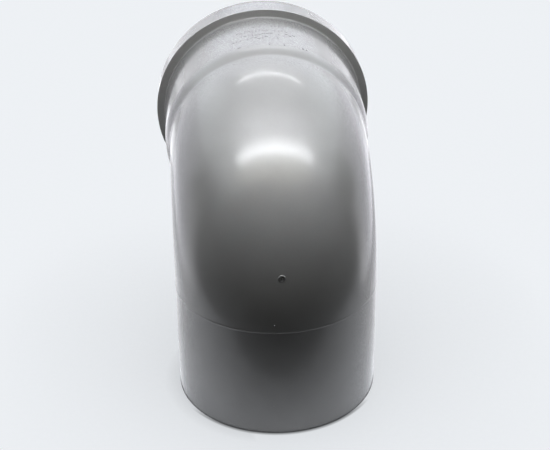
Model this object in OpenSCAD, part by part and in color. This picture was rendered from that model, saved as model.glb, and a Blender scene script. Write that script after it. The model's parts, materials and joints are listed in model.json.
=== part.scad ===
// Push-fit drain pipe bend: a moulded body with a plain spigot at one end and a
// socket at the other, and the rubber lip seal that sits in the socket's collar.
// Origin: centre of the spigot's end face. +Z runs up the spigot, +Y is the side
// that the socket points to. Millimetres.

/* [Pipe] */
// Outside diameter of the pipes that this fitting joins
pipe_od = 110; // [109.8:0.1:110.4]
// Wall thickness of the spigot and the bend
pipe_wall = 2.7; // [2.4:0.1:3.4]

/* [Bend] */
// Angle between the spigot's axis and the socket's axis
bend_angle = 87; // [45:1:90]
// Radius of the bend's centre line
bend_r = 55.5; // [55.5:0.5:90]
// Length of the straight spigot
spigot_len = 64.5; // [50:0.5:90]
// Size of the bevel round the spigot's outer end edge
spigot_bevel = 1.2; // [0.5:0.1:1.8]

/* [Socket] */
// Room between a pipe and the socket's bore, on the radius
socket_room = 0.3; // [0.2:0.05:0.4]
// Wall thickness of the socket's barrel
socket_wall = 2.2; // [2.0:0.1:3.0]
// Length of the cone that widens from pipe to socket
cone_len = 6; // [4.5:0.1:9]
// Length of the barrel between the cone and the collar
barrel_len = 39; // [30:0.5:50]

/* [Collar] */
// Length of the collar that holds the seal
collar_len = 15.4; // [14.5:0.1:18]
// Height of the collar's square shoulder above the barrel
collar_step = 4.7; // [4.2:0.1:5.2]
// How much the collar's radius shrinks from the shoulder to the mouth
collar_draft = 0.9; // [0:0.1:1]
// Width of the seal groove inside the collar
groove_width = 9.4; // [9:0.1:10]
// Depth of the seal groove outside the socket's bore
groove_depth = 4.2; // [4:0.1:4.4]

/* [Moulding marks] */
// How far round the bend the gate nub sits
gate_angle = 16; // [5:1:40]
// Diameter of the gate nub
gate_d = 4.2; // [2:0.1:5]
// Height of the gate nub above the bend
gate_h = 0.9; // [0.4:0.1:1.5]
// Height of the raised mould line where the bend begins
mould_line_h = 0.12; // [0.05:0.01:0.3]

/* [Hidden] */
$fn = 160;

// Radii shared by the spigot, the bend and the socket
pipe_r = pipe_od / 2;
pipe_bore_r = pipe_r - pipe_wall;
socket_bore_r = pipe_r + socket_room;
barrel_r = socket_bore_r + socket_wall;
collar_r = barrel_r + collar_step;
mouth_r = collar_r - collar_draft;
groove_r = socket_bore_r + groove_depth;

// Places along the socket's axis, counted from the end of the bend
stop_setback = 0.5;
collar_wall = 2.6;
stop_at = cone_len + stop_setback;
collar_at = cone_len + barrel_len;
mouth_at = collar_at + collar_len;
groove_at = collar_at + collar_wall;
groove_end = groove_at + groove_width;

// Small edges and bevels of the moulding; edge_knee is how far a rounded edge's middle
// point stands off the sharp corner, as a share of its size
edge_knee = 0.3;
bore_bevel = 0.5;
shoulder_bevel = 0.25;
shoulder_fillet = 0.5;
mouth_bevel = 0.7;
mouth_lip_room = 0.7;
lead_in = 1.4;
mould_line_w = 0.8;
gate_dimple_d = 0.6 * gate_d;
gate_dimple_h = 0.5 * gate_h;
gate_root = 1.5;
gate_facets = 48;

// Spigot and socket reach root_len into the bend's wall, each inset by root_inset, and
// they swallow the bend's end faces; a low ridge inside marks where the cores meet
root_len = 0.8;
root_inset = 0.7;
core_ridge_h = 0.1;
swallow = 0.05;
cone_slope = (barrel_r - pipe_r) / (cone_len + swallow);

// Seal sizes: the ring fills the groove with a little room all round, and its lip
// lies just outside the surface of a pipe that has been pushed home
seal_room = 0.2;
lip_room = 0.15;
lip_flare = 0.1;
lip_setback = 0.4;
lip_reach = 4.5;
lip_tip_w = 0.8;
lip_root_w = 1.6;
heel_h = 0.9;
heel_bevel = 0.6;
rib_count = 3;
rib_h = 0.5;
rib_w = 1.2;

// Puts its children on the socket's axis, with z = 0 at the end of the bend
module on_socket_axis() {
  end_y = bend_r * (1 - cos(bend_angle));
  end_z = spigot_len + bend_r * sin(bend_angle);
  translate([0, end_y, end_z])
    rotate([-bend_angle, 0, 0])
      children();
}

// Lays a sweep about the local z axis along the bend, starting at the spigot
module on_bend_axis() {
  translate([0, bend_r, spigot_len])
    rotate([90, 0, -90])
      children();
}

// Straight spigot, with a bevelled end and the raised mould line at its top
module spigot() {
  ridge_r = pipe_bore_r - core_ridge_h;
  rotate_extrude()
    polygon([
      [pipe_bore_r, bore_bevel],
      [pipe_bore_r + bore_bevel, 0],
      [pipe_r - spigot_bevel, 0],
      [pipe_r - spigot_bevel * edge_knee, spigot_bevel * edge_knee],
      [pipe_r, spigot_bevel],
      [pipe_r, spigot_len - mould_line_w / 2],
      [pipe_r + mould_line_h, spigot_len - mould_line_w / 4],
      [pipe_r + mould_line_h, spigot_len + mould_line_w / 4],
      [pipe_r - root_inset, spigot_len + root_len],
      [pipe_bore_r + root_inset, spigot_len + root_len],
      [ridge_r, spigot_len + mould_line_w / 4],
      [ridge_r, spigot_len - mould_line_w / 4],
      [pipe_bore_r, spigot_len - mould_line_w]
    ]);
}

// The bend itself: a ring section swept through the bend angle
module bend() {
  on_bend_axis()
    rotate_extrude(angle = bend_angle)
      translate([bend_r, 0])
        difference() {
          circle(r = pipe_r);
          circle(r = pipe_bore_r);
        }
}

// Cone, barrel and collar, with the pipe stop, the bore and the seal groove
module socket() {
  shoulder_top = collar_r - shoulder_bevel;
  mouth_bore_r = socket_bore_r + mouth_lip_room;
  on_socket_axis()
    rotate_extrude()
      polygon([
        [pipe_bore_r - core_ridge_h, 0],
        [pipe_bore_r + root_inset, -root_len],
        [pipe_r - cone_slope * (root_len - swallow), -root_len],
        [barrel_r, cone_len],
        [barrel_r, collar_at - shoulder_fillet],
        [barrel_r + shoulder_fillet * edge_knee, collar_at - shoulder_fillet * edge_knee],
        [barrel_r + shoulder_fillet, collar_at],
        [shoulder_top, collar_at],
        [collar_r, collar_at + shoulder_bevel],
        [mouth_r, mouth_at - mouth_bevel],
        [mouth_r - mouth_bevel * edge_knee, mouth_at - mouth_bevel * edge_knee],
        [mouth_r - mouth_bevel, mouth_at],
        [mouth_bore_r + lead_in / 2, mouth_at],
        [mouth_bore_r, mouth_at - lead_in],
        [mouth_bore_r, groove_end],
        [groove_r, groove_end],
        [groove_r, groove_at],
        [socket_bore_r, groove_at],
        [socket_bore_r, stop_at],
        [pipe_bore_r - core_ridge_h, stop_at]
      ]);
}

// Stub left where the moulding's gate was cut, with its cratered top
module gate_nub() {
  on_bend_axis()
    rotate([0, 0, gate_angle])
      translate([bend_r + pipe_r, 0, 0])
        rotate([0, 90, 0])
          difference() {
            translate([0, 0, -gate_root])
              cylinder(d = gate_d, h = gate_root + gate_h, $fn = gate_facets);
            translate([0, 0, gate_h - gate_dimple_h])
              cylinder(d1 = 0, d2 = gate_dimple_d * 2, h = gate_dimple_h * 2, $fn = gate_facets);
          }
}

// One-piece moulding: spigot, bend and socket
module bend_body() {
  color("#9a9da0") {
    union() {
      spigot();
      bend();
      socket();
      gate_nub();
    }
  }
}

// Rubber ring: ribbed bead in the groove, and a lip that leans towards the pipe stop
module lip_seal() {
  bead_r = groove_r - seal_room;
  bead_low = groove_at + seal_room;
  bead_high = groove_end - seal_room;
  lip_r = pipe_r + lip_room;
  lip_low = bead_low + lip_setback;
  heel_r = socket_bore_r + heel_h;
  slot_r = heel_r + lip_root_w;
  rib_gap = (bead_high - bead_low) / rib_count;
  color("#1d1e20")
    on_socket_axis()
      rotate_extrude()
        polygon(concat(
          [
            [lip_r, lip_low],
            [lip_r + lip_tip_w, lip_low],
            [slot_r, lip_low + lip_reach - heel_bevel],
            [slot_r, bead_low + heel_bevel],
            [slot_r + heel_bevel, bead_low],
            [bead_r - rib_h, bead_low]
          ],
          [
            for (i = [0:rib_count - 1])
              let (z = bead_low + rib_gap * (i + 0.5))
                each [
                  [bead_r - rib_h, z - rib_w / 2],
                  [bead_r, z - rib_w / 4],
                  [bead_r, z + rib_w / 4],
                  [bead_r - rib_h, z + rib_w / 2]
                ]
          ],
          [
            [bead_r - rib_h, bead_high],
            [heel_r, bead_high],
            [heel_r - lip_setback, bead_high - heel_bevel],
            [lip_r + lip_flare, lip_low + lip_reach]
          ]
        ));
}

bend_body();
lip_seal();
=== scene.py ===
import json
from math import atan2, cos, pi, radians, sin, tan

import bmesh
import bpy
from mathutils import Matrix, Vector
from random import Random

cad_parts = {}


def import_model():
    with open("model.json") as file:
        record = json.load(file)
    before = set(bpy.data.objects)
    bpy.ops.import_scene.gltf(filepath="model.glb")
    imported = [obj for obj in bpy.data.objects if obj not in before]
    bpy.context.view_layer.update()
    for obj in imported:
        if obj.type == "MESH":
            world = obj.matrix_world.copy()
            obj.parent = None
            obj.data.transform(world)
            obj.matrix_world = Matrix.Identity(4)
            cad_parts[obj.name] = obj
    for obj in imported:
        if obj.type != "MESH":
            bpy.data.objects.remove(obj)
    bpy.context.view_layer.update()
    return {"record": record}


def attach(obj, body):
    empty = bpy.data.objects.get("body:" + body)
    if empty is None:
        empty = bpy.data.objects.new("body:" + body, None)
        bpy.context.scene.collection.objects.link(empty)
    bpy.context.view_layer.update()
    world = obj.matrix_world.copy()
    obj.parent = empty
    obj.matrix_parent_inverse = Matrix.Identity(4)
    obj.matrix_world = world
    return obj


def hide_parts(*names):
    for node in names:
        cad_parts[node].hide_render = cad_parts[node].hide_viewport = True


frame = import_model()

MM = 0.001

# ---------------------------------------------------------------- dimensions
# Taken from the frame: the pipe, the socket's bore and where the two axes run
MOUNTS = {m["name"]: m for m in frame["record"]["mounts"]}
PIPE_R = MOUNTS["spigot"]["dims"]["r_mm"] * MM
SOCKET_R = MOUNTS["socket"]["dims"]["r_mm"] * MM
SOCKET_LEN = MOUNTS["socket"]["dims"]["length_mm"] * MM
SOCKET_MID = Vector(MOUNTS["socket"]["pos_m"])
SOCKET_AXIS = Vector(MOUNTS["socket"]["axis"]).normalized()
BEND_ANGLE = atan2(SOCKET_AXIS.y, SOCKET_AXIS.z)

# The part's own driving dimensions
BEND_R = 55.5 * MM
PIPE_WALL = 2.7 * MM
SOCKET_WALL = 2.2 * MM
CONE_LEN = 6.0 * MM
COLLAR_LEN = 15.4 * MM
COLLAR_STEP = 4.7 * MM
COLLAR_DRAFT = 0.9 * MM
COLLAR_TO_GROOVE = 2.6 * MM
GROOVE_WIDTH = 9.4 * MM
GROOVE_DEPTH = 4.2 * MM
MOUTH_ROOM = 0.7 * MM
LEAD_IN = 1.4 * MM
MOULD_LINE_H = 0.12 * MM
MOULD_LINE_W = 0.8 * MM

# Where the two axes cross gives the spigot's length
AXES_CROSS_Z = SOCKET_MID.z - SOCKET_MID.y / tan(BEND_ANGLE)
SPIGOT_LEN = AXES_CROSS_Z - BEND_R * tan(BEND_ANGLE / 2)
BEND_CENTRE = Vector((0, BEND_R, SPIGOT_LEN))
BEND_LEN = BEND_R * BEND_ANGLE
BEND_END = BEND_CENTRE + BEND_R * Vector((0, -cos(BEND_ANGLE), sin(BEND_ANGLE)))

# Radii, and places along the path, which runs from the spigot's end to the mouth
PIPE_BORE_R = PIPE_R - PIPE_WALL
BARREL_R = SOCKET_R + SOCKET_WALL
COLLAR_R = BARREL_R + COLLAR_STEP
MOUTH_R = COLLAR_R - COLLAR_DRAFT
MOUTH_BORE_R = SOCKET_R + MOUTH_ROOM
GROOVE_R = SOCKET_R + GROOVE_DEPTH
BEND_STOP = SPIGOT_LEN + BEND_LEN
BARREL_AT = BEND_STOP + CONE_LEN
STOP_AT = BEND_STOP + (SOCKET_MID - BEND_END).dot(SOCKET_AXIS) - SOCKET_LEN / 2
GROOVE_AT = STOP_AT + SOCKET_LEN
COLLAR_AT = GROOVE_AT - COLLAR_TO_GROOVE
GROOVE_END = GROOVE_AT + GROOVE_WIDTH
MOUTH_AT = COLLAR_AT + COLLAR_LEN


# ------------------------------------------------------------------ geometry
def path_frame(u):
    """Centre of the pipe at path length u, and the direction of the bend's outer side."""
    if u <= SPIGOT_LEN:
        return Vector((0, 0, u)), Vector((0, -1, 0))
    turn = min((u - SPIGOT_LEN) / BEND_R, BEND_ANGLE)
    out = Vector((0, -cos(turn), sin(turn)))
    along = max(u - BEND_STOP, 0.0)
    return BEND_CENTRE + BEND_R * out + along * SOCKET_AXIS, out


def on_path(u, r, angle):
    """A point at path length u and radius r; angle 0 is the outer side, 90 degrees is +X."""
    centre, out = path_frame(u)
    return centre + r * (cos(angle) * out + sin(angle) * Vector((1, 0, 0)))


def rounded(corners, steps=4):
    """Replaces each (u, r, size) corner of a closed outline by a curve that starts size away from it."""
    points = []
    count = len(corners)
    for i, (u, r, size) in enumerate(corners):
        here = Vector((u, r))
        if size == 0:
            points.append(here)
            continue
        before = (Vector(corners[i - 1][:2]) - here).normalized() * size
        after = (Vector(corners[(i + 1) % count][:2]) - here).normalized() * size
        for k in range(steps + 1):
            f = k / steps
            points.append(here + before * (1 - f) ** 2 + after * f ** 2)
    return points


def spaced(points, step):
    """Adds points so that no stretch of a closed outline runs further than step along the path."""
    dense = []
    for i, a in enumerate(points):
        b = points[(i + 1) % len(points)]
        parts = max(1, round(abs(b.x - a.x) / step))
        dense += [a.lerp(b, k / parts) for k in range(parts)]
    return dense


def sweep_outline(name, outline, columns):
    """Turns a closed (path length, radius) outline round the path into a closed ring-shaped mesh."""
    bm = bmesh.new()
    rings = []
    for u, r in outline:
        rings.append([bm.verts.new(on_path(u, r, 2 * pi * k / columns)) for k in range(columns)])
    for i, ring in enumerate(rings):
        after = rings[(i + 1) % len(rings)]
        for k in range(columns):
            j = (k + 1) % columns
            bm.faces.new((ring[k], ring[j], after[j], after[k]))
    return finish_mesh(name, bm)


def finish_mesh(name, bm):
    """Makes an object from a bmesh, with its faces turned outwards."""
    bmesh.ops.recalc_face_normals(bm, faces=bm.faces)
    mesh = bpy.data.meshes.new(name)
    bm.to_mesh(mesh)
    bm.free()
    piece = bpy.data.objects.new(name, mesh)
    bpy.context.scene.collection.objects.link(piece)
    return piece


def smooth(piece, sharp_over):
    """Smooth shading, with edges over the given angle kept sharp."""
    piece.data.shade_smooth()
    piece.data.set_sharp_from_angle(angle=sharp_over)


def join_solid(piece, other):
    """Joins another closed mesh into this one as one solid skin, and removes the other."""
    union = piece.modifiers.new("join", "BOOLEAN")
    union.operation = "UNION"
    union.object = other
    union.solver = "MANIFOLD"
    bpy.context.view_layer.update()
    graph = bpy.context.evaluated_depsgraph_get()
    joined = bpy.data.meshes.new_from_object(piece.evaluated_get(graph))
    piece.modifiers.remove(union)
    piece.data = joined
    bpy.data.objects.remove(other)


BODY_COLUMNS = 240
RING_STEP = 1.5 * MM
BODY_SHARP = radians(32)


def body_outline():
    """The moulding's wall: outer skin from the spigot's end to the mouth, then the bore back again."""
    return rounded([
        (0, PIPE_R, 1.1 * MM),
        (SPIGOT_LEN - MOULD_LINE_W / 2, PIPE_R, 0.2 * MM),
        (SPIGOT_LEN, PIPE_R + MOULD_LINE_H, 0.12 * MM),
        (SPIGOT_LEN + MOULD_LINE_W / 2, PIPE_R, 0.2 * MM),
        (BEND_STOP, PIPE_R, 1.6 * MM),
        (BARREL_AT, BARREL_R, 3.5 * MM),
        (COLLAR_AT, BARREL_R, 1.0 * MM),
        (COLLAR_AT, COLLAR_R, 0.3 * MM),
        (MOUTH_AT, MOUTH_R, 0.8 * MM),
        (MOUTH_AT, MOUTH_BORE_R + LEAD_IN / 2, 0.4 * MM),
        (MOUTH_AT - LEAD_IN, MOUTH_BORE_R, 0.5 * MM),
        (GROOVE_END, MOUTH_BORE_R, 0.3 * MM),
        (GROOVE_END, GROOVE_R, 0.4 * MM),
        (GROOVE_AT, GROOVE_R, 0.4 * MM),
        (GROOVE_AT, SOCKET_R, 0.3 * MM),
        (STOP_AT, SOCKET_R, 0.5 * MM),
        (STOP_AT, PIPE_BORE_R, 0.4 * MM),
        (0, PIPE_BORE_R, 0.5 * MM),
    ])


# The gate nub: its place round the bend, its size, how much lower its rim is on its lower
# side, how deep it is rooted in the wall, and how far it sits back towards the spigot
GATE_ANGLE = radians(16)
GATE_R = 2.0 * MM
GATE_H = 0.95 * MM
GATE_TEAR = 0.42
GATE_ROOT = 1.2 * MM
GATE_BACK = 0.25 * MM
GATE_COLUMNS = 48


def gate_nub():
    """The torn stub of the moulding gate: a rim, high on its upper side, round a crater with a pip."""
    shape = rounded([
        (-GATE_ROOT, 0, 0),
        (-GATE_ROOT, GATE_R, 0),
        (0.1 * MM, GATE_R, 0.05 * MM),
        (GATE_H, GATE_R * 0.92, 0.28 * MM),
        (GATE_H, GATE_R * 0.62, 0.2 * MM),
        (GATE_H * 0.35, GATE_R * 0.42, 0.15 * MM),
        (GATE_H * 0.35, GATE_R * 0.26, 0.1 * MM),
        (GATE_H * 0.85, GATE_R * 0.1, 0.08 * MM),
        (GATE_H * 0.85, 0, 0),
    ])
    centre, out = path_frame(SPIGOT_LEN + BEND_R * GATE_ANGLE)
    along = Vector((0, out.z, -out.y))
    side = Vector((1, 0, 0))
    base = centre + PIPE_R * out - GATE_BACK * along
    rng = Random(7)
    wobble = [(rng.uniform(0.015, 0.05), rng.uniform(0, 2 * pi)) for _ in range(4)]
    bm = bmesh.new()
    rings = []
    for h, r in shape:
        if r == 0:
            rings.append([bm.verts.new(base + h * (1 - GATE_TEAR * (h > 0)) * out)])
            continue
        ring = []
        for k in range(GATE_COLUMNS):
            a = 2 * pi * k / GATE_COLUMNS
            rough = 1 + sum(w * sin((n + 2) * a + p) for n, (w, p) in enumerate(wobble))
            height = h * rough * (1 - GATE_TEAR * (1 - sin(a))) if h > 0 else h
            ring.append(bm.verts.new(base + height * out + r * (cos(a) * side + sin(a) * along)))
        rings.append(ring)
    for low, high in zip(rings, rings[1:]):
        for k in range(GATE_COLUMNS):
            j = (k + 1) % GATE_COLUMNS
            if len(low) == 1:
                bm.faces.new((low[0], high[j], high[k]))
            elif len(high) == 1:
                bm.faces.new((low[k], low[j], high[0]))
            else:
                bm.faces.new((low[k], low[j], high[j], high[k]))
    return finish_mesh("gate_nub", bm)


# Rows of raised bars on the barrel: distance from the bend's end, first and last angle in
# degrees, and the share of the row's places that hold a bar
MARK_ROWS = (
    (33.0 * MM, -9, 11, 0.55),
    (27.5 * MM, -16, 17, 0.85),
    (22.8 * MM, -14, 18, 0.85),
    (18.0 * MM, -19, 8, 0.8),
    (9.5 * MM, -18, 24, 0.3),
)
MARK_PITCH = 2.1 * MM
MARK_LONG = 1.1 * MM
MARK_THIN = 0.3 * MM
MARK_H = 0.2 * MM
MARK_ROOT = 0.25 * MM
MARK_SLANT = 0.1 * MM
MARK_JITTER = 0.2 * MM
MARK_DROP = 0.7 * MM


def raised_bar(bm, u, angle, half_u, half_w):
    """One bar on the barrel: half_u is half its size along the socket, half_w round it."""
    layers = []
    for r, inset in ((BARREL_R - MARK_ROOT, 0), (BARREL_R, 0), (BARREL_R + MARK_H, MARK_SLANT)):
        du, da = half_u - inset, (half_w - inset) / BARREL_R
        corners = ((-du, -da), (du, -da), (du, da), (-du, da))
        layers.append([bm.verts.new(on_path(u + cu, r, angle + ca)) for cu, ca in corners])
    bm.faces.new(layers[0])
    bm.faces.new(layers[-1])
    for low, high in zip(layers, layers[1:]):
        for k in range(4):
            j = (k + 1) % 4
            bm.faces.new((low[k], low[j], high[j], high[k]))


def raised_marks():
    """Short bars in rows on the outer side of the barrel, in place of its lettering; they spell nothing."""
    rng = Random(11)
    bm = bmesh.new()
    for s, first, last, density in MARK_ROWS:
        cells = round(radians(last - first) * BARREL_R / MARK_PITCH)
        for i in range(cells):
            angle = radians(first) + (i + 0.5) * MARK_PITCH / BARREL_R
            u = BEND_STOP + s + rng.uniform(-MARK_JITTER, MARK_JITTER)
            share = rng.random()
            upright = rng.random() < 0.5
            if share > density:
                continue
            if upright:
                raised_bar(bm, u, angle, MARK_LONG, MARK_THIN)
            else:
                drop = rng.choice((-MARK_DROP, 0, MARK_DROP))
                raised_bar(bm, u + drop, angle, MARK_THIN, MARK_LONG * 0.8)
    return finish_mesh("raised_marks", bm)


# Small pips left by the mould: path length, degrees from the outer side, radius, height
PIPS = (
    (66.8 * MM, -4.6, 0.45 * MM, 0.3 * MM),
    (17.9 * MM, -5.7, 0.35 * MM, 0.25 * MM),
)
PIP_ROOT = 0.3 * MM
PIP_COLUMNS = 12


def mould_pips():
    """Two tiny domes below the gate."""
    bm = bmesh.new()
    for u, degrees, size, height in PIPS:
        angle = radians(degrees)
        centre, out = path_frame(u)
        normal = cos(angle) * out + sin(angle) * Vector((1, 0, 0))
        base = centre + PIPE_R * normal
        along = Vector((0, out.z, -out.y))
        side = normal.cross(along)
        rings = []
        for h, r in ((-PIP_ROOT, size), (0, size), (height * 0.7, size * 0.7), (height, size * 0.25)):
            ring = []
            for k in range(PIP_COLUMNS):
                a = 2 * pi * k / PIP_COLUMNS
                ring.append(bm.verts.new(base + h * normal + r * (cos(a) * side + sin(a) * along)))
            rings.append(ring)
        bm.faces.new(rings[0])
        bm.faces.new(rings[-1])
        for low, high in zip(rings, rings[1:]):
            for k in range(PIP_COLUMNS):
                j = (k + 1) % PIP_COLUMNS
                bm.faces.new((low[k], low[j], high[j], high[k]))
    return finish_mesh("mould_pips", bm)


def bend_body():
    """The one-piece moulding."""
    piece = sweep_outline("bend_body_moulding", spaced(body_outline(), RING_STEP), BODY_COLUMNS)
    for relief in (gate_nub(), raised_marks(), mould_pips()):
        join_solid(piece, relief)
    smooth(piece, BODY_SHARP)
    piece.data.materials.clear()
    piece.data.materials.append(grey_polypropylene())
    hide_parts("bend_body")
    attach(piece, "root")


SEAL_COLUMNS = 200
SEAL_ROOM = 0.2 * MM
LIP_R = PIPE_R - 0.6 * MM
LIP_REACH = 4.5 * MM
LIP_TIP = 0.7 * MM
RIB_COUNT = 3
RIB_H = 0.5 * MM
RIB_HALF_ROOT = 0.6 * MM
RIB_HALF_TOP = 0.3 * MM
HEEL_H = 0.9 * MM
HEEL_BEVEL = 0.6 * MM
LIP_ROOT = 1.6 * MM
LIP_SETBACK = 0.4 * MM
LIP_ROOM = 0.15 * MM
SEAL_SHARP = radians(40)


def seal_outline():
    """The rubber ring: a ribbed bead in the groove and a lip that leans in towards the pipe stop."""
    low = GROOVE_AT + SEAL_ROOM
    high = GROOVE_END - SEAL_ROOM
    bead_r = GROOVE_R - SEAL_ROOM
    heel_r = SOCKET_R + HEEL_H
    lip_low = low + LIP_SETBACK
    slot_r = heel_r + LIP_ROOT
    rib_gap = (high - low) / RIB_COUNT
    ribs = []
    for i in range(RIB_COUNT):
        mid = low + rib_gap * (i + 0.5)
        ribs += [
            (mid - RIB_HALF_ROOT, bead_r - RIB_H, 0.1 * MM),
            (mid - RIB_HALF_TOP, bead_r, 0.12 * MM),
            (mid + RIB_HALF_TOP, bead_r, 0.12 * MM),
            (mid + RIB_HALF_ROOT, bead_r - RIB_H, 0.1 * MM),
        ]
    return rounded([
        (lip_low, LIP_R, 0.3 * MM),
        (lip_low, LIP_R + LIP_TIP, 0.2 * MM),
        (lip_low + LIP_REACH - HEEL_BEVEL, slot_r, 0.4 * MM),
        (low + HEEL_BEVEL, slot_r, 0.3 * MM),
        (low, slot_r + HEEL_BEVEL, 0.2 * MM),
        (low, bead_r - RIB_H, 0.15 * MM),
        *ribs,
        (high, bead_r - RIB_H, 0.3 * MM),
        (high, heel_r, 0.4 * MM),
        (high - HEEL_BEVEL, heel_r - LIP_SETBACK, 0.3 * MM),
        (lip_low + LIP_REACH, PIPE_R + LIP_ROOM, 0.5 * MM),
    ])


def lip_seal():
    """The black lip ring in the collar's groove."""
    piece = sweep_outline("lip_seal_ring", seal_outline(), SEAL_COLUMNS)
    smooth(piece, SEAL_SHARP)
    piece.data.materials.append(seal_rubber())
    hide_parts("lip_seal")
    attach(piece, "root")


# ----------------------------------------------------------------- materials
PLASTIC_IOR = 1.49
PLASTIC_COAT = 0.25
PLASTIC_GREYS = (0.123, 0.123, 0.121), (0.133, 0.133, 0.131)
RUBBER_BLACKS = (0.011, 0.011, 0.012), (0.02, 0.02, 0.021)
# How much of its roughness the plastic keeps where it is seen edge-on
SHEEN_AT_EDGE = 0.4
GLOSS_AT_EDGE = 0.7


class Nodes:
    """Short helpers for one material's node tree."""

    def __init__(self, name):
        self.material = bpy.data.materials.new(name)
        self.material.use_nodes = True
        self.tree = self.material.node_tree
        self.bsdf = self.tree.nodes["Principled BSDF"]
        self.where = self.tree.nodes.new("ShaderNodeNewGeometry").outputs["Position"]

    def set(self, **values):
        """Sets inputs of the main shader, with spaces in their names written as underscores."""
        for key, value in values.items():
            self.bsdf.inputs[key.replace("_", " ")].default_value = value

    def link(self, output, target):
        """Feeds one node's output into another node's input."""
        self.tree.links.new(output, target)

    def noise(self, size, detail=2.0):
        """Noise from 0 to 1 whose patches are about size across, in metres."""
        node = self.tree.nodes.new("ShaderNodeTexNoise")
        node.inputs["Scale"].default_value = 1 / size
        node.inputs["Detail"].default_value = detail
        self.link(self.where, node.inputs["Vector"])
        return node.outputs["Fac"]

    def remap(self, value, low, high, start=0.35, stop=0.65):
        """Moves a value that runs from start to stop onto low to high."""
        node = self.tree.nodes.new("ShaderNodeMapRange")
        node.inputs["From Min"].default_value = start
        node.inputs["From Max"].default_value = stop
        node.inputs["To Min"].default_value = low
        node.inputs["To Max"].default_value = high
        self.link(value, node.inputs["Value"])
        return node.outputs["Result"]

    def math(self, operation, a, b):
        """Works out operation on two values, each a number or another node's output."""
        node = self.tree.nodes.new("ShaderNodeMath")
        node.operation = operation
        for socket, value in zip(node.inputs, (a, b)):
            if isinstance(value, (int, float)):
                socket.default_value = value
            else:
                self.link(value, socket)
        return node.outputs["Value"]

    def mix(self, share, a, b):
        """Mixes two colours by a share from 0 to 1."""
        node = self.tree.nodes.new("ShaderNodeMix")
        node.data_type = "RGBA"
        self.link(share, node.inputs["Factor"])
        for name, colour in (("A", a), ("B", b)):
            socket = next(i for i in node.inputs if i.name == name and i.type == "RGBA")
            socket.default_value = (*colour, 1)
        return next(o for o in node.outputs if o.type == "RGBA")

    def bump(self, height, distance, below=None):
        """Turns a height from 0 to 1 into a relief of the given depth, on top of another relief."""
        node = self.tree.nodes.new("ShaderNodeBump")
        node.inputs["Distance"].default_value = distance
        self.link(height, node.inputs["Height"])
        if below is not None:
            self.link(below, node.inputs["Normal"])
        return node.outputs["Normal"]


def grey_polypropylene():
    """Semi-gloss grey moulded polypropylene: a soft wide sheen under a thin sharper gloss.

    Both sharpen where the surface is seen at a low angle, as on real slightly rough plastic."""
    m = Nodes("grey_polypropylene")
    m.set(IOR=PLASTIC_IOR, Coat_IOR=PLASTIC_IOR, Coat_Weight=PLASTIC_COAT)
    clouds = m.remap(m.noise(28 * MM), 0.0, 1.0)
    speckle = m.remap(m.noise(0.5 * MM, 3.0), -0.25, 0.25)
    tone = m.math("ADD", clouds, speckle)
    m.link(m.mix(tone, *PLASTIC_GREYS), m.bsdf.inputs["Base Color"])
    low_angle = m.tree.nodes.new("ShaderNodeLayerWeight").outputs["Facing"]
    sheen = m.remap(low_angle, 1.0, SHEEN_AT_EDGE, 0.2, 0.8)
    gloss = m.remap(low_angle, 1.0, GLOSS_AT_EDGE, 0.15, 0.75)
    specks = m.remap(m.noise(0.3 * MM, 3.0), 0.37, 0.53)
    m.link(m.math("MULTIPLY", specks, sheen), m.bsdf.inputs["Roughness"])
    smudges = m.remap(m.noise(6 * MM, 5.0), 0.115, 0.155)
    m.link(m.math("MULTIPLY", smudges, gloss), m.bsdf.inputs["Coat Roughness"])
    waves = m.bump(m.noise(11 * MM, 1.0), 0.012 * MM)
    grain = m.bump(m.noise(0.35 * MM, 2.0), 0.0012 * MM, waves)
    m.link(grain, m.bsdf.inputs["Normal"])
    m.link(waves, m.bsdf.inputs["Coat Normal"])
    return m.material


def seal_rubber():
    """Matt black rubber with a fine grain and a trace of talc."""
    m = Nodes("seal_rubber")
    dust = m.remap(m.noise(4 * MM, 6.0), 0.0, 1.0)
    m.link(m.mix(dust, *RUBBER_BLACKS), m.bsdf.inputs["Base Color"])
    m.link(m.remap(m.noise(3 * MM, 5.0), 0.48, 0.66), m.bsdf.inputs["Roughness"])
    m.link(m.bump(m.noise(0.4 * MM, 3.0), 0.015 * MM), m.bsdf.inputs["Normal"])
    return m.material


# --------------------------------------------------------- stage and lighting
# The part stands in a white light box with an open front, which only the part sees;
# the camera sees a plain pale floor that runs on without an end
BOX_HALF = 200 * MM
BOX_FRONT = -100 * MM
BOX_BACK = 300 * MM
BOX_TOP = 400 * MM
AWNING = 100 * MM
FLAP_H = 150 * MM
WARM = (1.2, 1.12, 0.8)

# The front strip light is a core inside two wider, softer halos: depth and brightness of each
FRONT_STRIP = ((80 * MM, 8.2), (50 * MM, 10.5), (25 * MM, 10.5))
FRONT_STRIP_AT = (18 * MM, -77 * MM)
FRONT_STRIP_LEN = 470 * MM
FRONT_STRIP_TINT = (0.985, 1.0, 1.03)
BACK_STRIP_AT = (20 * MM, 236 * MM)
BACK_STRIP_SIZE = (295 * MM, 8 * MM)
BACK_STRIP_GLOW = (46, 46.5, 47)
LAYER_GAP = 1 * MM

# The roof's cloth: name, front and rear edge, and brightness of each stretch
ROOF = (
    ("awning", BOX_FRONT - AWNING, BOX_FRONT, WARM),
    ("roof_front", BOX_FRONT, -30 * MM, (2.3, 2.3, 2.45)),
    ("roof_middle", -30 * MM, 65 * MM, (3.5, 3.55, 3.85)),
    ("roof_rear", 65 * MM, BOX_BACK, (1.2, 1.22, 1.3)),
)

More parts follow.
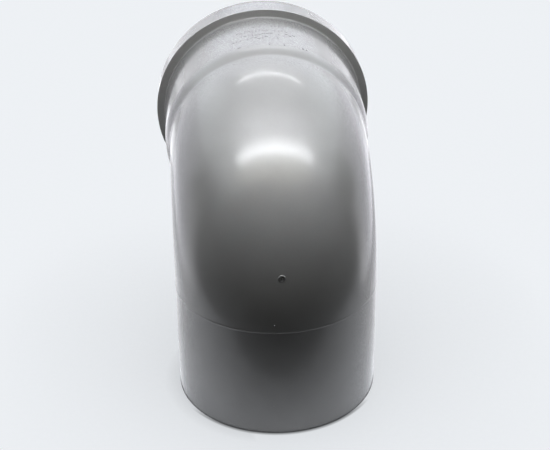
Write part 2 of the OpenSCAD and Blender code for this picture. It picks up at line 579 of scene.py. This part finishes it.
# A side wall: name, front and rear edge, lower and upper edge, and brightness; below it,
# how bright each stretch is on the left and on the right against that value
SIDE_WALL = (
    ("upper", BOX_FRONT, BOX_BACK, 220 * MM, BOX_TOP, (2.35, 2.45, 2.55)),
    ("rear", 50 * MM, BOX_BACK, 0 * MM, 220 * MM, (1.5, 1.5, 1.6)),
    ("foot", 0 * MM, 50 * MM, 0 * MM, 130 * MM, (1.0, 1.0, 1.03)),
)
LEFT_SHARES = (1.03, 1.03, 1.6)
RIGHT_SHARES = (1.06, 1.06, 2.0)

# The back wall: name, left and right edge, lower and upper edge, and brightness
BACK_WALL = (
    ("back_upper", -BOX_HALF, BOX_HALF, 284 * MM, BOX_TOP, (2.2, 2.23, 2.4)),
    ("back_band", -BOX_HALF, BOX_HALF, 236 * MM, 284 * MM, (2.25, 2.3, 2.45)),
    ("back_foot", -BOX_HALF, BOX_HALF, 0 * MM, 100 * MM, (0.85, 0.85, 0.88)),
    ("back_middle", -70 * MM, 70 * MM, 100 * MM, 236 * MM, (0.72, 0.7, 0.74)),
    ("back_left", -BOX_HALF, -70 * MM, 100 * MM, 236 * MM, (1.5, 1.5, 1.55)),
    ("back_right", 70 * MM, BOX_HALF, 100 * MM, 236 * MM, (1.5, 1.5, 1.55)),
)

# A fill lamp beyond the back wall lights the part's rear, and is not seen in reflections
FILL_AT = (0, 450 * MM, 130 * MM)
FILL_SIZE = (500 * MM, 260 * MM)
FILL_GLOW = (3.6, 3.65, 3.75)

# The white sheet that the part sees: its edge in front, where that edge turns back at the sides and how
# steeply, how soft the edge is, and the ring round the spigot where it is left dark, a painted contact
# shadow
SHEET_EDGE = -105 * MM
SHEET_CORNER = 110 * MM
SHEET_SLOPE = 0.5
SHEET_SOFT = 4 * MM
SHEET_SHADOW_RING = 1.4 * MM
# The colour of the sheet's painted glow
PAINTED_GLOW_TINT = (0.96, 1.0, 1.08, 1)

# Fades, each from a first to a last value between two places: the sheet's white, with painted light and
# shade that dims it from front to rear and from left to right, and its painted glow, which stands in for
# light from the open front, from front to rear and outwards
PAINTED_LIGHT_TO_REAR = (0.63, 0.42, 60 * MM, 180 * MM)
PAINTED_LIGHT_TO_RIGHT = (1.15, 0.85, -150 * MM, 150 * MM)
PAINTED_GLOW_TO_REAR = (0.65, 0.0, -45 * MM, 45 * MM)
PAINTED_GLOW_OUTWARDS = (1.3, 0.85, PIPE_R, PIPE_R + 60 * MM)

# The floor that the camera sees: its colour, how far and how deeply the part's painted shadow darkens it,
# the painted contact shadow line where the spigot stands, which ends towards the sides, and a painted shade
# at the left
PALE = (0.885, 0.905, 0.93)
SHADOW_REACH = 150 * MM
SHADOW_DEPTH = 0.3
CONTACT_OUTWARDS = (0.25, 1.0, PIPE_R - 0.5 * MM, PIPE_R + 1.8 * MM)
CONTACT_END = (0.0, 1.0, -52 * MM, -28 * MM)
SHADE_OUTWARDS = (0.91, 1.0, PIPE_R, PIPE_R + 9 * MM)
SHADE_END = (0.0, 1.0, -60 * MM, -15 * MM)
FLOOR_HALF = 4.0
ROOM_DARK = (0.006, 0.006, 0.006)


def panel(name, centre, facing, size, glow):
    """An even rectangle of light; glow is its brightness in red, green and blue."""
    light = bpy.data.lights.new(name, "AREA")
    light.shape = "RECTANGLE"
    light.size, light.size_y = size
    light.energy = pi * size[0] * size[1] * glow[1]
    light.color = [c / glow[1] for c in glow]
    lamp = bpy.data.objects.new(name, light)
    back = -Vector(facing)
    across = Vector((0, 1, 0)) if facing[0] else Vector((1, 0, 0))
    turn = Matrix((across, back.cross(across), back)).transposed().to_4x4()
    lamp.matrix_world = Matrix.Translation(centre) @ turn
    lamp.visible_camera = False
    bpy.context.scene.collection.objects.link(lamp)
    return lamp


def light_box():
    """Two strip lights in the box's top, the light that its white sides send back, and a fill."""
    down, to_front, to_back = (0, 0, -1), (0, -1, 0), (0, 1, 0)
    for i, (depth, glow) in enumerate(FRONT_STRIP):
        at = (*FRONT_STRIP_AT, BOX_TOP - i * LAYER_GAP)
        panel("front_strip", at, down, (FRONT_STRIP_LEN, depth), [glow * c for c in FRONT_STRIP_TINT])
    panel("back_strip", (*BACK_STRIP_AT, BOX_TOP), down, BACK_STRIP_SIZE, BACK_STRIP_GLOW)
    width = 2 * BOX_HALF
    roof_z = BOX_TOP + 2 * LAYER_GAP
    for name, y0, y1, glow in ROOF:
        panel(name, (0, (y0 + y1) / 2, roof_z), down, (width, y1 - y0), glow)
    panel("flap", (0, BOX_FRONT, BOX_TOP - FLAP_H / 2), to_back, (width, FLAP_H), WARM)
    for side, wall, shares in ((-1, "left", LEFT_SHARES), (1, "right", RIGHT_SHARES)):
        for (name, y0, y1, z0, z1, glow), share in zip(SIDE_WALL, shares):
            at = (side * BOX_HALF, (y0 + y1) / 2, (z0 + z1) / 2)
            size = (y1 - y0, z1 - z0)
            panel(wall + "_" + name, at, (-side, 0, 0), size, [share * c for c in glow])
    fill = panel("back_fill", FILL_AT, to_front, FILL_SIZE, FILL_GLOW)
    fill.visible_glossy = False
    for name, x0, x1, z0, z1, glow in BACK_WALL:
        at = ((x0 + x1) / 2, BOX_BACK, (z0 + z1) / 2)
        panel(name, at, to_front, (x1 - x0, z1 - z0), glow)


def white_sheet(m, x, y, from_axis):
    """What the part sees of the floor: a white sheet with an edge in front, painted light and shade in its
    white, a painted contact shadow round the spigot, and a painted glow.
    """
    past_corner = m.math("MAXIMUM", m.math("SUBTRACT", m.math("ABSOLUTE", x, 0), SHEET_CORNER), 0)
    edge = m.math("ADD", m.math("MULTIPLY", past_corner, SHEET_SLOPE), SHEET_EDGE)
    sheet = m.remap(m.math("SUBTRACT", y, edge), 0.0, 1.0, -SHEET_SOFT, SHEET_SOFT)
    # Painted contact shadow: the sheet is dark in a thin ring round the spigot's foot
    clear = m.remap(from_axis, 0.0, 1.0, PIPE_R, PIPE_R + SHEET_SHADOW_RING)
    sheet = m.math("MULTIPLY", sheet, clear)
    # Painted light and shade: the sheet is whiter at the front and left, and less white towards the rear
    # and the right
    white = m.math("MULTIPLY", m.remap(y, *PAINTED_LIGHT_TO_REAR), m.remap(x, *PAINTED_LIGHT_TO_RIGHT))
    # Painted glow: the sheet glows in front of the part and near it, standing in for light from the open
    # front
    glow = m.math("MULTIPLY", m.remap(y, *PAINTED_GLOW_TO_REAR), m.remap(from_axis, *PAINTED_GLOW_OUTWARDS))
    m.link(m.math("MULTIPLY", sheet, white), m.bsdf.inputs["Base Color"])
    m.link(m.math("MULTIPLY", sheet, glow), m.bsdf.inputs["Emission Strength"])
    m.set(Roughness=0.9, Specular_IOR_Level=0.0, Emission_Color=PAINTED_GLOW_TINT)
    return m.bsdf.outputs["BSDF"]


def pale_floor(m, x, y, from_axis):
    """What the camera sees of the floor: an even pale tone, with the part's soft shadow painted into it."""
    near = m.tree.nodes.new("ShaderNodeAmbientOcclusion")
    near.samples = 8
    near.inputs["Distance"].default_value = SHADOW_REACH
    fibres = m.remap(m.noise(3 * MM, 4.0), 0.997, 1.003)
    contact = m.math("MAXIMUM", m.remap(from_axis, *CONTACT_OUTWARDS), m.remap(y, *CONTACT_END))
    shade = m.math("MAXIMUM", m.remap(from_axis, *SHADE_OUTWARDS), m.remap(x, *SHADE_END))
    under = m.remap(near.outputs["AO"], 1 - SHADOW_DEPTH, 1.0, 0.0, 1.0)
    # Painted shadow: the part's soft shadow, the contact line and the shade at the left darken the floor's
    # even glow
    shadow = m.math("MULTIPLY", m.math("MULTIPLY", contact, shade), under)
    glow = m.tree.nodes.new("ShaderNodeEmission")
    glow.inputs["Color"].default_value = (*PALE, 1)
    m.link(m.math("MULTIPLY", fibres, shadow), glow.inputs["Strength"])
    return glow.outputs["Emission"]


def floor():
    """The pale floor: the camera sees it run on, and the part sees only the box's white sheet."""
    bm = bmesh.new()
    bmesh.ops.create_grid(bm, x_segments=1, y_segments=1, size=FLOOR_HALF)
    piece = finish_mesh("floor", bm)
    m = Nodes("white_sheet")
    split = m.tree.nodes.new("ShaderNodeSeparateXYZ")
    m.link(m.where, split.inputs["Vector"])
    reach = m.tree.nodes.new("ShaderNodeVectorMath")
    reach.operation = "LENGTH"
    m.link(m.where, reach.inputs[0])
    place = split.outputs["X"], split.outputs["Y"], reach.outputs["Value"]
    pick = m.tree.nodes.new("ShaderNodeMixShader")
    m.link(m.tree.nodes.new("ShaderNodeLightPath").outputs["Is Camera Ray"], pick.inputs["Fac"])
    m.link(white_sheet(m, *place), pick.inputs[1])
    m.link(pale_floor(m, *place), pick.inputs[2])
    m.link(pick.outputs["Shader"], m.tree.nodes["Material Output"].inputs["Surface"])
    piece.data.materials.append(m.material)


def world():
    """Behind everything: the floor's pale colour for the camera, a dark room for the part."""
    sky = bpy.data.worlds.new("studio")
    sky.use_nodes = True
    nodes = sky.node_tree.nodes
    links = sky.node_tree.links
    room = nodes["Background"]
    room.inputs["Color"].default_value = (*ROOM_DARK, 1)
    pale = nodes.new("ShaderNodeBackground")
    pale.inputs["Color"].default_value = (*PALE, 1)
    pick = nodes.new("ShaderNodeMixShader")
    links.new(nodes.new("ShaderNodeLightPath").outputs["Is Camera Ray"], pick.inputs["Fac"])
    links.new(room.outputs["Background"], pick.inputs[1])
    links.new(pale.outputs["Background"], pick.inputs[2])
    links.new(pick.outputs["Shader"], nodes["World Output"].inputs["Surface"])
    bpy.context.scene.world = sky


CAMERA_AT = Vector((-41.1, -639.2, 457.5)) * MM
CAMERA_YAW = radians(3.678)
CAMERA_PITCH = radians(29.341)
CAMERA_ROLL = radians(-0.686)
CAMERA_LENS = 89.54
SENSOR_WIDTH = 36.0


def camera():
    """The photograph's viewpoint: above the part, looking down onto the outer side of the bend."""
    forward = Vector((
        sin(CAMERA_YAW) * cos(CAMERA_PITCH),
        cos(CAMERA_YAW) * cos(CAMERA_PITCH),
        -sin(CAMERA_PITCH),
    ))
    level = Vector((cos(CAMERA_YAW), -sin(CAMERA_YAW), 0))
    upright = level.cross(forward)
    right = cos(CAMERA_ROLL) * level + sin(CAMERA_ROLL) * upright
    up = cos(CAMERA_ROLL) * upright - sin(CAMERA_ROLL) * level
    data = bpy.data.cameras.new("camera")
    data.lens = CAMERA_LENS
    data.sensor_width = SENSOR_WIDTH
    data.clip_start = 0.01
    eye = bpy.data.objects.new("camera", data)
    turn = Matrix((right, up, -forward)).transposed().to_4x4()
    eye.matrix_world = Matrix.Translation(CAMERA_AT) @ turn
    bpy.context.scene.collection.objects.link(eye)
    bpy.context.scene.camera = eye


CONTRAST = 1.3

bend_body()
lip_seal()
light_box()
floor()
world()
camera()
scene = bpy.context.scene
scene.view_settings.view_transform = "Standard"
scene.view_settings.gamma = 1 / CONTRAST
scene.cycles.use_denoising = True
